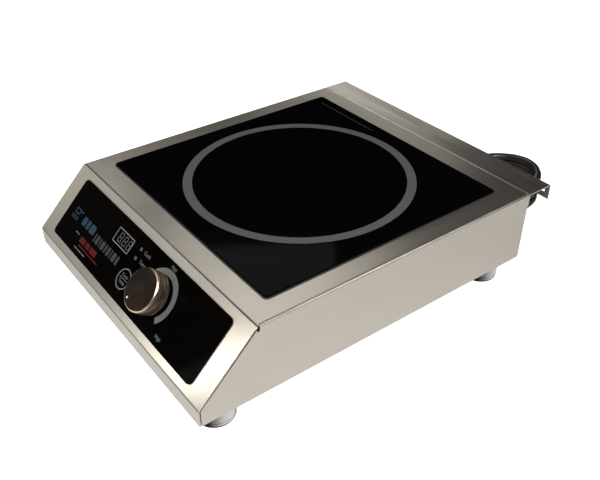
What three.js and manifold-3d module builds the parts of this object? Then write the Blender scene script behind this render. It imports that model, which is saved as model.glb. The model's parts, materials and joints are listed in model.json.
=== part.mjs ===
// Countertop induction cooktop: a folded stainless case with a sloping control front, a flat glass
// top, a slotted spacer bracket behind, round feet and a coiled mains cord.
// Units are millimetres. +Z is up, the controls face -Y, and the origin is on the table, under the
// middle of the case and its rear bracket.
import * as THREE from 'three';
import { mergeVertices } from 'three/addons/utils/BufferGeometryUtils.js';
import Module from 'manifold-3d';

const wasm = await Module();
wasm.setup();

// ---- Driving dimensions -------------------------------------------------------------------------
const GAP = 0.3; // clearance between pieces that touch or fit
const SEAT = 0.1; // clearance under a piece that rests flat on another

const CASE_WIDTH = 351;
const TOP_DEPTH = 353.5; // flat top, from the front bend to the rear edge
const SLOPE_RUN = 63.7; // control front, measured along Y
const SLOPE_DROP = 63.7; // control front, measured along Z
const SKIRT_HEIGHT = 19; // upright strip under the control front
const SHEET = 1.2; // stainless sheet
const BEND_RADIUS = 2.6; // outside radius of the folds
const REAR_FLANGE = 12; // down-turned rear edge of the top cover
const BASE_SHEET = 1;
const BASE_FLANGE = 11;
const VENT = { x: 40, width: 4, height: 46, count: 20, pitch: 11 }; // outlet slots in the rear panel
const INTAKE = { length: 64, width: 4.4, rows: 7, pitch: 10 }; // inlet slots under the fan

const FOOT_RADIUS = 19.5;
const FOOT_HEIGHT = 18;
const FOOT_INSET_X = 21.5; // foot axis from the side of the case
const FOOT_INSET_FRONT = 28; // foot axis from the front of the skirt
const FOOT_INSET_REAR = 37.5; // foot axis from the rear of the case
const PAD_HEIGHT = 1.8;

const BRACKET_DEPTH = 35.9;
const BRACKET_STEP = 1; // bracket plate below the top cover
const BRACKET_FLANGE = 15;
const LIP_HEIGHT = 18.3;
const LIP_SLOT = { length: 60, width: 4.5, count: 5, drop: 9.9, edge: 5.8 };

const GLASS_SIZE = 300;
const GLASS_THICK = 4;
const GLASS_PROUD = 2.3; // glass top above the steel
const GLASS_FRONT = 26.3; // glass front edge behind the front bend
const GLASS_CORNER = 4;
const SEAL_WIDTH = 1.6;
const SEAL_PROUD = 0.9;
const FRAME_LEDGE = 9; // glass frame reaches this far under the glass
const FRAME_MARGIN = 8; // and this far past it
const FRAME_THICK = 1.5;

const FASCIA = { width: 302, height: 71, top: 10, thick: 1, corner: 5 };
const DISPLAY = { x: -36.4, down: 30.6, width: 33, height: 16.5 };
const LAMP_X = -5;
const LAMP_DOWN = [24, 34.6]; // Cook lamp, Temp lamp
const LAMP_RADIUS = 1.5;
const BUTTON = { x: -2, down: 58.6, radius: 11.8, proud: 0.5, travel: 0.8, flange: 1.4 };
const KNOB = { x: 51.6, down: 45.6, radius: 22.3, base: 3.5, top: 22.8, edge: 1, wall: 3 };
const KNOB_DOT = { radius: 1.1, orbit: 17.6, angle: 213 }; // angle clockwise from the top
const SHAFT_RADIUS = 3;
const RUNNING_FIT = 0.1;
const BUSHING_RADIUS = 4.5;
const BOARD = { width: 270, height: 58, thick: 1.6, depth: 8.3 }; // depth below the front surface

const COIL_RADIUS = 96;
const WINDING_THICK = 5;
const MICA_THICK = 0.5;
const FERRITE = { length: 66, width: 12, thick: 5.4 };
const TRAY = { size: 170, thick: 1.6, leg: 10 };
const POWER_BOARD = { width: 140, length: 220, rear: 25, lift: 11, thick: 1.6 };
const FAN = { size: 80, depth: 25, bore: 38.5, hub: 17, spoke: 3, blades: 7, side: 60.5, clear: 3.45 };

const CORD_RADIUS = 4.75;
const RELIEF = { x: -125, z: 30, length: 32, collar: 9, neck: 6.5 };
// Places on the cord: x and z as everywhere, y counted from the rear face of the case.
const COIL_RING = { x: 46, y: 108.4, inner: 38, outer: 57.4, low: 0.2, high: 38.4, corner: 3, sides: 48 };
const PLUG = { x: -45.3, y: 56, z: 13.3, nose: 12, body: 32, radius: 13 };
const BLADE = { width: 6.35, thick: 1.5, length: 17, spacing: 12.7, rise: 2.5 };
const PIN = { radius: 2.4, length: 20, drop: 8 };
// The mains lead, from the strain relief down to the table and along it to the coil.
const LEAD_ROUTE = [
  [-125, 32.35, 30], [-125, 45, 29.2], [-125, 60, 26], [-122.3, 80.7, 18.5], [-114.3, 100, 10.5],
  [-101.6, 116.6, 5.9], [-85, 129.3, 4.95], [-62.6, 138, 4.95], [-30, 145.2, 4.95], [1.8, 152.2, 4.95],
];
// The last stretch, from the top of the coil down to the plug.
const TAIL_ROUTE = [
  [12.5, 56, 31.2], [0, 56, 27.2], [-12.5, 56, 21.6], [-25, 56, 16.5], [-36, 56, 13.6], [-44.7, 56, 13.3],
];

// ---- Places that follow from them ----------------------------------------------------------------
const SIDE = CASE_WIDTH / 2;
const TOP_Z = FOOT_HEIGHT + SKIRT_HEIGHT + SLOPE_DROP;
const FRONT_Y = -(SLOPE_RUN + TOP_DEPTH + BRACKET_DEPTH) / 2;
const BEND_Y = FRONT_Y + SLOPE_RUN;
const REAR_Y = BEND_Y + TOP_DEPTH;
const SLOPE_ANGLE = Math.atan2(SLOPE_DROP, SLOPE_RUN);
const GLASS_Y = BEND_Y + GLASS_FRONT + GLASS_SIZE / 2;
const GLASS_BASE = TOP_Z + GLASS_PROUD - GLASS_THICK;
const PLATE_Z = TOP_Z - BRACKET_STEP;
const FAN_X = -SIDE + FAN.side;
const FAN_Y = GLASS_Y - TRAY.size / 2 - FAN.clear - FAN.size / 2; // just in front of the coil tray
const FASCIA_TOP = GAP + FASCIA.thick;
const FLOOR_Z = FOOT_HEIGHT + BASE_SHEET; // inside of the base pan
const LOW = -SEAT; // any height below the case, for through cuts
const ROUND = 24; // sides of small round pieces

const looks = {
  stainless: paint(0xb9b4a6, 0.35, 1),
  steel: paint(0x9a9a98, 0.45, 1),
  glass: paint(0x050506, 0.05, 0),
  seal: paint(0x3a3a3a, 0.6, 0),
  fascia: paint(0x060607, 0.15, 0),
  window: paint(0x120808, 0.1, 0),
  display: paint(0x9b948a, 0.5, 0),
  lamp: paint(0xb8b4ac, 0.3, 0),
  button: paint(0x0b0b0c, 0.3, 0),
  board: paint(0x1d5a33, 0.6, 0),
  black: paint(0x1a1a1a, 0.6, 0),
  bronze: paint(0x7d6653, 0.35, 1),
  white: paint(0xf2f2ee, 0.4, 0),
  copper: paint(0xb5683a, 0.4, 1),
  ferrite: paint(0x2b2b2e, 0.7, 0),
  mica: paint(0xb9b29a, 0.6, 0),
  aluminium: paint(0xb4b6b8, 0.4, 1),
  capacitor: paint(0xc8c0a8, 0.5, 0),
  chrome: paint(0xd8d8d6, 0.15, 1),
  rubber: paint(0x161616, 0.8, 0),
  cord: paint(0x1c1b1a, 0.55, 0),
  brass: paint(0xc9a24a, 0.3, 1),
};

// ---- Helpers --------------------------------------------------------------------------------------
function paint(color, roughness, metalness) {
  return new THREE.MeshStandardMaterial({ color, roughness, metalness });
}

// A closed three.js geometry as a solid that can be cut and joined.
function solid(geometry) {
  const bare = geometry.clone();
  bare.deleteAttribute('normal');
  bare.deleteAttribute('uv');
  const merged = mergeVertices(bare, 1e-4);
  const vertProperties = new Float32Array(merged.attributes.position.array);
  const triVerts = new Uint32Array(merged.index.array);
  return new wasm.Manifold(new wasm.Mesh({ numProp: 3, vertProperties, triVerts }));
}

function geometryOf(shape) {
  const mesh = shape.getMesh();
  const geometry = new THREE.BufferGeometry();
  geometry.setAttribute('position', new THREE.BufferAttribute(mesh.vertProperties, 3));
  geometry.setIndex(new THREE.BufferAttribute(mesh.triVerts, 1));
  geometry.computeVertexNormals();
  return geometry;
}

function join(first, ...others) {
  return others.reduce((total, part) => total.add(solid(part)), solid(first));
}

function cut(body, ...tools) {
  return tools.reduce((rest, tool) => rest.subtract(solid(tool)), body);
}

function block(x0, x1, y0, y1, z0, z1) {
  const geometry = new THREE.BoxGeometry(x1 - x0, y1 - y0, z1 - z0);
  return geometry.translate((x0 + x1) / 2, (y0 + y1) / 2, (z0 + z1) / 2);
}

function plate(width, depth, thick, x, y, z) {
  return block(x - width / 2, x + width / 2, y - depth / 2, y + depth / 2, z, z + thick);
}

// An upright rod or disc.
function rod(radius, z0, z1, x = 0, y = 0, sides = ROUND) {
  const geometry = new THREE.CylinderGeometry(radius, radius, z1 - z0, sides);
  return geometry.rotateX(Math.PI / 2).translate(x, y, (z0 + z1) / 2);
}

// A turned piece: profile points are [radius, height] about the Z axis.
function turned(profile, sides) {
  const points = profile.map(([radius, height]) => new THREE.Vector2(radius, height));
  return new THREE.LatheGeometry(points, sides).rotateX(Math.PI / 2);
}

function outlineShape(points) {
  return new THREE.Shape(points.map(([a, b]) => new THREE.Vector2(a, b)));
}

function extruded(shape, length) {
  return new THREE.ExtrudeGeometry(shape, { depth: length, bevelEnabled: false, curveSegments: 4 });
}

// A [y, z] outline drawn out along X.
function alongX(points, x0, x1) {
  const toX = new THREE.Matrix4().makeBasis(
    new THREE.Vector3(0, 1, 0), new THREE.Vector3(0, 0, 1), new THREE.Vector3(1, 0, 0));
  return extruded(outlineShape(points), x1 - x0).applyMatrix4(toX).translate(x0, 0, 0);
}

// An [x, z] outline drawn out along Y.
function alongY(shape, y0, y1) {
  return extruded(shape, y1 - y0).rotateX(Math.PI / 2).translate(0, y1, 0);
}

function upright(shape, z0, z1) {
  return extruded(shape, z1 - z0).translate(0, 0, z0);
}

// An outline with its corners rounded: each corner is [a, b, radius].
function rounded(corners, steps = 4) {
  const points = [];
  corners.forEach(([a, b, radius = 0], index) => {
    const here = new THREE.Vector2(a, b);
    const before = new THREE.Vector2(...corners.at(index - 1).slice(0, 2)).sub(here).normalize();
    const after = new THREE.Vector2(...corners[(index + 1) % corners.length].slice(0, 2))
      .sub(here).normalize();
    if (radius === 0) {
      points.push([a, b]);
      return;
    }
    const half = Math.acos(before.dot(after)) / 2;
    const centre = before.clone().add(after).normalize().multiplyScalar(radius / Math.sin(half)).add(here);
    const start = before.clone().multiplyScalar(radius / Math.tan(half)).add(here).sub(centre);
    const end = after.clone().multiplyScalar(radius / Math.tan(half)).add(here).sub(centre);
    const turn = Math.atan2(start.cross(end), start.dot(end));
    for (let step = 0; step <= steps; step += 1) {
      const spoke = start.clone().rotateAround(new THREE.Vector2(), (turn * step) / steps).add(centre);
      points.push([spoke.x, spoke.y]);
    }
  });
  return points;
}

function roundedBox(width, depth, radius, x = 0, y = 0, steps = 4) {
  const a = width / 2;
  const b = depth / 2;
  const corners = [[-a, -b, radius], [a, -b, radius], [a, b, radius], [-a, b, radius]];
  return rounded(corners, steps).map(([u, v]) => [u + x, v + y]);
}

// A slot with round ends, long along the first or the second axis.
function slotOutline(length, width, x, y) {
  return roundedBox(length, width, Math.min(length, width) / 2 - 0.01, x, y, 2);
}

function sweep(route, radius, sides, steps) {
  const path = new THREE.CatmullRomCurve3(route.map((point) => new THREE.Vector3(...point)));
  const section = new THREE.Shape();
  for (let side = 0; side < sides; side += 1) {
    const angle = (side / sides) * 2 * Math.PI;
    const corner = [radius * Math.cos(angle), radius * Math.sin(angle)];
    if (side === 0) section.moveTo(...corner);
    else section.lineTo(...corner);
  }
  return new THREE.ExtrudeGeometry(section, { steps, bevelEnabled: false, extrudePath: path });
}

const object = new THREE.Group();
// Everything on the control front stands in this group: x across, y up the slope, z outwards, with
// its origin on the front bend.
const controls = new THREE.Group();
controls.rotation.x = SLOPE_ANGLE;
controls.position.set(0, BEND_Y, TOP_Z);
object.add(controls);
// The cord and what is on it stand in this group, with its origin on the rear face of the case.
const cord = new THREE.Group();
cord.position.y = REAR_Y;
object.add(cord);

function add(name, shape, material, group = object) {
  const geometry = shape.getMesh ? geometryOf(shape) : shape;
  const mesh = new THREE.Mesh(geometry, material.clone());
  mesh.name = name;
  group.add(mesh);
  return mesh;
}

// ---- Case -----------------------------------------------------------------------------------------
// Side outline of the case, moved inwards by inset, as [y, z, corner radius].
function caseOutline(inset, low) {
  const bend = BEND_RADIUS - inset;
  const skirtTop = FOOT_HEIGHT + SKIRT_HEIGHT;
  const atBend = inset * Math.tan(SLOPE_ANGLE / 2);
  const atSkirt = inset * Math.tan((Math.PI / 2 - SLOPE_ANGLE) / 2);
  return [
    [FRONT_Y + inset, low], [REAR_Y - inset, low], [REAR_Y - inset, TOP_Z - inset, bend],
    [BEND_Y + atBend, TOP_Z - inset, bend], [FRONT_Y + inset, skirtTop - atSkirt, bend],
  ];
}

function caseBlank(inset, low) {
  const side = SIDE - inset;
  const bend = BEND_RADIUS - inset;
  const section = rounded([
    [-side, low], [side, low], [side, TOP_Z - inset, bend], [-side, TOP_Z - inset, bend],
  ]);
  const profile = alongX(rounded(caseOutline(inset, low)), -SIDE, SIDE);
  return solid(profile).intersect(solid(alongY(outlineShape(section), FRONT_Y, REAR_Y)));
}

function controlOpenings(low, high, clearance) {
  const { x, down, width, height } = DISPLAY;
  const openings = [
    rod(BUTTON.radius + GAP, low, high, BUTTON.x, -BUTTON.down, 36),
    rod(BUSHING_RADIUS + clearance, low, high, KNOB.x, -KNOB.down),
    plate(width, height, high - low, x, -down, low),
  ];
  LAMP_DOWN.forEach((drop) => openings.push(rod(LAMP_RADIUS + GAP, low, high, LAMP_X, -drop, 12)));
  return openings;
}

function topCover() {
  const opening = GLASS_SIZE + 2 * SEAL_WIDTH;
  const shell = caseBlank(0, FOOT_HEIGHT).subtract(caseBlank(SHEET, LOW));
  const rearWindow = block(-SIDE + SHEET, SIDE - SHEET, REAR_Y - 2 * SHEET, REAR_Y + SHEET,
    LOW, TOP_Z - REAR_FLANGE);
  const glassHole = roundedBox(opening, opening, GLASS_CORNER + SEAL_WIDTH, 0, GLASS_Y);
  const hole = upright(outlineShape(glassHole), TOP_Z - 2 * SHEET, TOP_Z + SHEET);
  controls.updateMatrixWorld(true);
  const openings = controlOpenings(-2 * SHEET, SHEET, GAP)
    .map((tool) => tool.applyMatrix4(controls.matrixWorld));
  return cut(shell, rearWindow, hole, ...openings);
}

function basePan() {
  const side = SIDE - SHEET - GAP;
  const front = FRONT_Y + SHEET + GAP;
  const rear = REAR_Y - SHEET - GAP;
  const top = FOOT_HEIGHT + BASE_FLANGE;
  const blank = solid(block(-side, side, front, rear, FOOT_HEIGHT, top));
  const room = side - BASE_SHEET;
  const inside = block(-room, room, front + BASE_SHEET, rear + SHEET, FLOOR_Z, top + SHEET);
  const tools = [inside];
  for (let row = 0; row < INTAKE.rows; row += 1) {
    const y = FAN_Y + (row - (INTAKE.rows - 1) / 2) * INTAKE.pitch;
    const slot = outlineShape(slotOutline(INTAKE.length, INTAKE.width, FAN_X, y));
    tools.push(upright(slot, LOW, FLOOR_Z + SHEET));
  }
  return cut(blank, ...tools);
}

function rearPanel() {
  const side = SIDE - SHEET - GAP;
  const top = TOP_Z - REAR_FLANGE - GAP;
  const outline = outlineShape([[-side, FOOT_HEIGHT], [side, FOOT_HEIGHT], [side, top], [-side, top]]);
  const tools = [rod(RELIEF.neck + GAP, -2 * SHEET, 2 * SHEET).rotateX(Math.PI / 2)
    .translate(RELIEF.x, REAR_Y, RELIEF.z)];
  const middle = (FOOT_HEIGHT + top) / 2;
  for (let index = 0; index < VENT.count; index += 1) {
    const x = VENT.x + (index - (VENT.count - 1) / 2) * VENT.pitch;
    const slot = slotOutline(VENT.width, VENT.height, x, middle);
    tools.push(alongY(outlineShape(slot), REAR_Y - 2 * SHEET, REAR_Y + SHEET));
  }
  return cut(solid(alongY(outline, REAR_Y - SHEET, REAR_Y)), ...tools);
}

function rearBracket() {
  const front = REAR_Y + SEAT;
  const rear = REAR_Y + BRACKET_DEPTH;
  const lipFoot = PLATE_Z - LIP_HEIGHT;
  const bend = BEND_RADIUS - 1;
  const outline = rounded([
    [front, PLATE_Z - BRACKET_FLANGE], [front + SHEET, PLATE_Z - BRACKET_FLANGE],
    [front + SHEET, PLATE_Z - SHEET], [rear - SHEET, PLATE_Z - SHEET], [rear - SHEET, lipFoot],
    [rear, lipFoot], [rear, PLATE_Z, bend], [front, PLATE_Z, bend],
  ]);
  const { length, width, count, drop, edge } = LIP_SLOT;
  const pitch = (CASE_WIDTH - 2 * edge - length) / (count - 1);
  const slots = [];
  for (let index = 0; index < count; index += 1) {
    const x = -SIDE + edge + length / 2 + index * pitch;
    const slot = outlineShape(slotOutline(length, width, x, PLATE_Z - drop));
    slots.push(alongY(slot, rear - 2 * SHEET, rear + SHEET));
  }
  return cut(solid(alongX(outline, -SIDE, SIDE)), ...slots);
}

function addFeet() {
  const rows = [FRONT_Y + FOOT_INSET_FRONT, REAR_Y - FOOT_INSET_REAR];
  const columns = [-SIDE + FOOT_INSET_X, SIDE - FOOT_INSET_X];
  let number = 1;
  const top = FOOT_HEIGHT - SEAT;
  const edge = 1;
  const cup = [
    [0, PAD_HEIGHT + SEAT], [FOOT_RADIUS, PAD_HEIGHT + SEAT], [FOOT_RADIUS, top - edge],
    [FOOT_RADIUS - edge, top], [0, top],
  ];
  const pad = [
    [0, 0], [FOOT_RADIUS - 0.8, 0], [FOOT_RADIUS - SEAT, 0.6], [FOOT_RADIUS - SEAT, PAD_HEIGHT],
    [0, PAD_HEIGHT],
  ];
  rows.forEach((y) => columns.forEach((x) => {
    add(`foot_${number}`, turned(cup, 32).translate(x, y, 0), looks.chrome);
    add(`foot_pad_${number}`, turned(pad, 32).translate(x, y, 0), looks.rubber);
    number += 1;
  }));
}

// ---- Glass and its seat -----------------------------------------------------------------------------
function squareRing(outer, inner, corner, z0, z1) {
  const step = (outer - inner) / 2;
  const ring = solid(upright(outlineShape(roundedBox(outer, outer, corner, 0, GLASS_Y)), z0, z1));
  const hole = outlineShape(roundedBox(inner, inner, Math.max(corner - step, 1), 0, GLASS_Y));
  return cut(ring, upright(hole, z0 - 1, z1 + 1));
}

function addGlass() {
  const outline = outlineShape(roundedBox(GLASS_SIZE, GLASS_SIZE, GLASS_CORNER, 0, GLASS_Y));
  add('glass_plate', upright(outline, GLASS_BASE, GLASS_BASE + GLASS_THICK), looks.glass);
  const sealOuter = GLASS_SIZE + 2 * SEAL_WIDTH - 2 * SEAT;
  const seal = squareRing(sealOuter, GLASS_SIZE + 2 * SEAT, GLASS_CORNER + SEAL_WIDTH - SEAT,
    GLASS_BASE, TOP_Z + SEAL_PROUD);
  add('glass_seal', seal, looks.seal);
  const frameTop = GLASS_BASE - SEAT;
  const frame = squareRing(GLASS_SIZE + 2 * FRAME_MARGIN, GLASS_SIZE - 2 * FRAME_LEDGE, 6,
    frameTop - FRAME_THICK, frameTop);
  add('glass_frame', frame, looks.steel);
}

// ---- Control front ----------------------------------------------------------------------------------
function fascia() {
  const { width, height, top, corner } = FASCIA;
  const outline = outlineShape(roundedBox(width, height, corner, 0, -(top + height / 2)));
  return cut(solid(upright(outline, GAP, FASCIA_TOP)), ...controlOpenings(0, FASCIA_TOP + 1, GAP));
}

function addDisplay() {
  const { x, down, width, height } = DISPLAY;
  const lens = plate(width - 2 * GAP, height - 2 * GAP, FASCIA.thick - 0.2, x, -down, GAP);
  add('display_window', lens, looks.window, controls);
  const deep = BOARD.depth - SEAT;
  const module = plate(width - 4 * GAP, height - 4 * GAP, deep - SEAT, x, -down, -deep);
  add('display_module', module, looks.display, controls);
  const names = ['cook_lamp', 'temp_lamp'];
  names.forEach((name, index) => {
    const lamp = rod(LAMP_RADIUS, -deep, FASCIA_TOP - 0.2, LAMP_X, -LAMP_DOWN[index], 12);
    add(name, lamp, looks.lamp, controls);
  });
}

// The button is a stepped cap held under the front sheet by its flange; its stem meets a switch on
// the board after its travel.
const FLANGE_TOP = -(SHEET + GAP);
const SWITCH_TOP = -BOARD.depth + 2.9;

function modeButton() {
  const { radius, proud, travel, flange } = BUTTON;
  const under = FLANGE_TOP - 1.2;
  const stem = SWITCH_TOP + travel + GAP;
  const profile = [
    [0, stem], [3, stem], [3, under], [radius + flange, under], [radius + flange, FLANGE_TOP],
    [radius, FLANGE_TOP], [radius, FASCIA_TOP + proud - 0.3], [radius - 0.3, FASCIA_TOP + proud],
    [0, FASCIA_TOP + proud],
  ];
  return turned(profile, 36).translate(BUTTON.x, -BUTTON.down, 0);
}

function knobBody() {
  const { radius, base, top, edge, wall, x, down } = KNOB;
  const ceiling = base + 8.5;
  const hub = base + 3;
  const bore = SHAFT_RADIUS + SEAT;
  const profile = [
    [0, top - 0.3], [6, top - 0.25], [radius - edge, top], [radius, top - edge], [radius, base],
    [radius - wall, base], [radius - wall, ceiling], [SHAFT_RADIUS + 4, ceiling],
    [SHAFT_RADIUS + 4, hub], [bore, hub], [bore, SHAFT_END + SEAT], [0, SHAFT_END + SEAT],
  ].reverse();
  const dot = dotPlace();
  const recess = rod(KNOB_DOT.radius + 0.2, top - 1.2, top + 1, dot.x, dot.y, 12);
  return geometryOf(cut(solid(turned(profile, 48)), recess)).translate(x, -down, 0);
}

const SHAFT_END = KNOB.top - 6;

function dotPlace() {
  const turn = THREE.MathUtils.degToRad(90 - KNOB_DOT.angle);
  return new THREE.Vector2(Math.cos(turn), Math.sin(turn)).multiplyScalar(KNOB_DOT.orbit);
}

function encoderBody() {
  const half = 7;
  const low = -(BOARD.depth - SEAT);
  const shoulder = -(SHEET + GAP);
  const bushing = rod(BUSHING_RADIUS, low + 1, KNOB.base + 2);
  const body = join(block(-half, half, -half, half, low, shoulder), bushing);
  const bore = rod(SHAFT_RADIUS + RUNNING_FIT, low + 3, KNOB.base + 3);
  return geometryOf(cut(body, bore)).translate(KNOB.x, -KNOB.down, 0);
}

function encoderNut() {
  const low = FASCIA_TOP + SEAT;
  const ring = cut(solid(rod(7.6, low, low + 1.8, 0, 0, 6)), rod(BUSHING_RADIUS + SEAT, low - 1, low + 3));
  return geometryOf(ring).translate(KNOB.x, -KNOB.down, 0);
}

function addControls() {
  const { width, height, thick, depth } = BOARD;
  const middle = -(FASCIA.top + FASCIA.height / 2);
  add('fascia_panel', fascia(), looks.fascia, controls);
  addDisplay();
  add('mode_button', modeButton(), looks.button, controls);
  const seat = -(depth - SEAT);
  const tact = plate(7, 7, SWITCH_TOP - seat, BUTTON.x, -BUTTON.down, seat);
  add('mode_switch', tact, looks.black, controls);
  const board = plate(width, height, thick, 0, middle, -depth - thick);
  add('control_board', board, looks.board, controls);
  [-1, 1].forEach((side, index) => {
    const post = rod(3, seat, -(SHEET + GAP), side * (width / 2 - 8), middle, 12);
    add(`control_standoff_${index + 1}`, post, looks.brass, controls);
  });
  add('encoder_body', encoderBody(), looks.steel, controls);
  add('encoder_nut', encoderNut(), looks.steel, controls);
  const shaft = rod(SHAFT_RADIUS, seat + 3.2, SHAFT_END, KNOB.x, -KNOB.down);
  add('encoder_shaft', shaft, looks.steel, controls);
  add('knob', knobBody(), looks.bronze, controls);
  const dot = dotPlace();
  const pointer = rod(KNOB_DOT.radius, KNOB.top - 0.9, KNOB.top, dot.x, dot.y, 12);
  add('knob_dot', pointer.translate(KNOB.x, -KNOB.down, 0), looks.white, controls);
}

// ---- Induction coil ---------------------------------------------------------------------------------
function discRing(inner, outer, z0, z1, sides = 48) {
  return turned([[inner, z0], [outer, z0], [outer, z1], [inner, z1], [inner, z0]], sides);
}

function coilTray(top) {
  const half = TRAY.size / 2;
  const low = FLOOR_Z + SEAT;
  const legs = [];
  [-1, 1].forEach((a) => [-1, 1].forEach((b) => {
    const x = a * (half - TRAY.leg / 2);
    const y = b * (half - TRAY.leg / 2);
    legs.push(plate(TRAY.leg, TRAY.leg, top - TRAY.thick / 2 - low, x, y, low));
  }));
  return join(plate(TRAY.size, TRAY.size, TRAY.thick, 0, 0, top - TRAY.thick), ...legs);
}

function addCoil() {
  const place = (shape) => (shape.getMesh ? geometryOf(shape) : shape).translate(0, GLASS_Y, 0);
  const micaTop = GLASS_BASE - SEAT;
  const windingTop = micaTop - MICA_THICK - SEAT;
  const carrierTop = windingTop - WINDING_THICK - SEAT;
  const ferriteTop = carrierTop - 3 - SEAT;
  const trayTop = ferriteTop - FERRITE.thick - SEAT;
  add('mica_sheet', place(rod(COIL_RADIUS, micaTop - MICA_THICK, micaTop, 0, 0, 48)), looks.mica);
  const windings = { inner_winding: [20, 48], outer_winding: [58, COIL_RADIUS - 4] };
  Object.entries(windings).forEach(([name, [inner, outer]]) => {
    add(name, place(discRing(inner, outer, windingTop - WINDING_THICK, windingTop)), looks.copper);
  });
  add('coil_carrier', place(discRing(12, COIL_RADIUS, carrierTop - 3, carrierTop)), looks.black);
  for (let index = 0; index < 4; index += 1) {
    const bar = plate(FERRITE.length, FERRITE.width, FERRITE.thick, 16 + FERRITE.length / 2, 0,
      ferriteTop - FERRITE.thick);
    const angle = (index / 4 + 1 / 8) * 2 * Math.PI;
    add(`ferrite_bar_${index + 1}`, place(bar.rotateZ(angle)), looks.ferrite);
  }
  add('thermistor', place(rod(4, carrierTop - 6, windingTop - SEAT, 0, 0, 16)), looks.white);
  add('coil_tray', place(coilTray(trayTop)), looks.aluminium);
}

// ---- Power electronics ------------------------------------------------------------------------------
function heatsink(x0, x1, y0, y1, z0, z1) {
  const fins = 8;
  const pitch = (x1 - x0 - 2) / (fins - 1);
  const parts = [];
  for (let fin = 1; fin < fins; fin += 1) {
    parts.push(block(x0 + fin * pitch, x0 + fin * pitch + 2, y0, y1, z0 + 3, z1));
  }
  return join(block(x0, x0 + 2, y0, y1, z0, z1), block(x0, x1, y0, y1, z0, z0 + 5), ...parts);
}

function addPower() {
  const { width, length, rear, lift, thick } = POWER_BOARD;
  const x0 = -width / 2;
  const x1 = width / 2;
  const y1 = REAR_Y - rear;
  const y0 = y1 - length;
  const under = FLOOR_Z + lift;
  const top = under + thick + SEAT;
  [y0 + 8, y1 - 8].forEach((y, index) => {
    add(`board_rail_${index + 1}`, plate(x1 - x0, 8, lift - 2 * SEAT, 0, y, FLOOR_Z + SEAT), looks.black);
  });
  add('power_board', block(x0, x1, y0, y1, under, under + thick), looks.board);
  add('heatsink', heatsink(x0 + 8, x0 + 60, y0 + 8, y0 + 118, top, top + 36), looks.aluminium);
  const face = x0 + 60 + 1 + SEAT;
  add('power_transistor', block(face, face + 5, y0 + 30, y0 + 46, top, top + 21), looks.black);
  add('bridge_rectifier', block(face, face + 5, y0 + 70, y0 + 98, top, top + 20), looks.black);
  add('filter_capacitor', block(x1 - 50, x1 - 12, y0 + 20, y0 + 44, top, top + 28), looks.capacitor);
  add('resonance_capacitor', block(x1 - 50, x1 - 12, y0 + 60, y0 + 84, top, top + 28), looks.capacitor);
  add('choke', discRing(7, 17, top, top + 12, 24).translate(x1 - 32, y1 - 50, 0), looks.copper);
}

function fanFrame() {
  const { size, depth, bore, hub, spoke } = FAN;
  const low = FLOOR_Z + SEAT;
  const shell = solid(upright(outlineShape(roundedBox(size, size, 4)), low, low + depth));
  const ring = cut(shell, rod(bore, low - 1, low + depth + 1, 0, 0, 48));
  const across = plate(2 * bore + 2, 4, spoke, 0, 0, low);
  const spokes = [across, across.clone().rotateZ(Math.PI / 2), rod(hub - 1, low, low + spoke)];
  const whole = spokes.reduce((total, bar) => total.add(solid(bar)), ring);
  return geometryOf(whole).translate(FAN_X, FAN_Y, 0);
}

function fanImpeller() {
  const { depth, bore, hub, spoke, blades } = FAN;
  const low = FLOOR_Z + SEAT + spoke + 1;
  const high = FLOOR_Z + depth - 1;
  const parts = [];
  const pitchAngle = 0.6;
  for (let index = 0; index < blades; index += 1) {
    const reach = bore - 1.5 - hub + 3;
    const blade = new THREE.BoxGeometry(reach, 1.4, 22);
    blade.rotateX(pitchAngle).translate(hub - 3 + reach / 2, 0, (low + high) / 2);
    parts.push(blade.rotateZ((index / blades) * 2 * Math.PI));
  }
  const sweepEnvelope = solid(rod(bore - 1, low, high, 0, 0, 48));
  const whole = join(rod(hub, low, high, 0, 0, 36), ...parts).intersect(sweepEnvelope);
  return geometryOf(whole).translate(FAN_X, FAN_Y, 0);
}

// ---- Mains cord -------------------------------------------------------------------------------------
// Turned about an axis along Y: profile points are [radius, y].
function turnedAlongY(profile, sides, x, z) {
  return turned(profile, sides).rotateX(-Math.PI / 2).translate(x, 0, z);
}

function strainRelief() {
  const { x, z, length, collar, neck } = RELIEF;
  const inside = -SHEET - GAP;
  const outside = GAP;
  const profile = [
    [0, inside - 5], [collar, inside - 5], [collar, inside], [neck, inside], [neck, outside],
    [collar, outside], [collar, outside + 3], [neck + 1, outside + 5],
    [CORD_RADIUS + 0.8, length], [0, length],
  ];
  return turnedAlongY(profile, ROUND, x, z);
}

function addPlug() {
  const { x, y, z, nose, body, radius } = PLUG;
  const edge = 0.6;
  const shoulder = 6;
  const lie = (geometry) => geometry.rotateZ(-Math.PI / 2).translate(x, y, z);
  const face = -nose - body;
  const profile = [
    [0, face], [radius - edge, face], [radius, face + edge], [radius, face + body - shoulder],
    [radius - 5, face + body], [CORD_RADIUS + 1, 0], [0, 0],
  ];
  add('plug_body', lie(turnedAlongY(profile, ROUND, 0, 0)), looks.cord, cord);
  const root = face - SEAT;
  [-1, 1].forEach((side, index) => {
    const across = (side * BLADE.spacing) / 2;
    const blade = block(across - BLADE.thick / 2, across + BLADE.thick / 2, root - BLADE.length, root,
      BLADE.rise - BLADE.width / 2, BLADE.rise + BLADE.width / 2);
    add(`plug_blade_${index + 1}`, lie(blade), looks.brass, cord);
  });
  const pin = rod(PIN.radius, 0, PIN.length, 0, 0, 12).rotateX(Math.PI / 2);
  add('plug_pin', lie(pin.translate(0, root, -PIN.drop)), looks.brass, cord);
}

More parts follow.
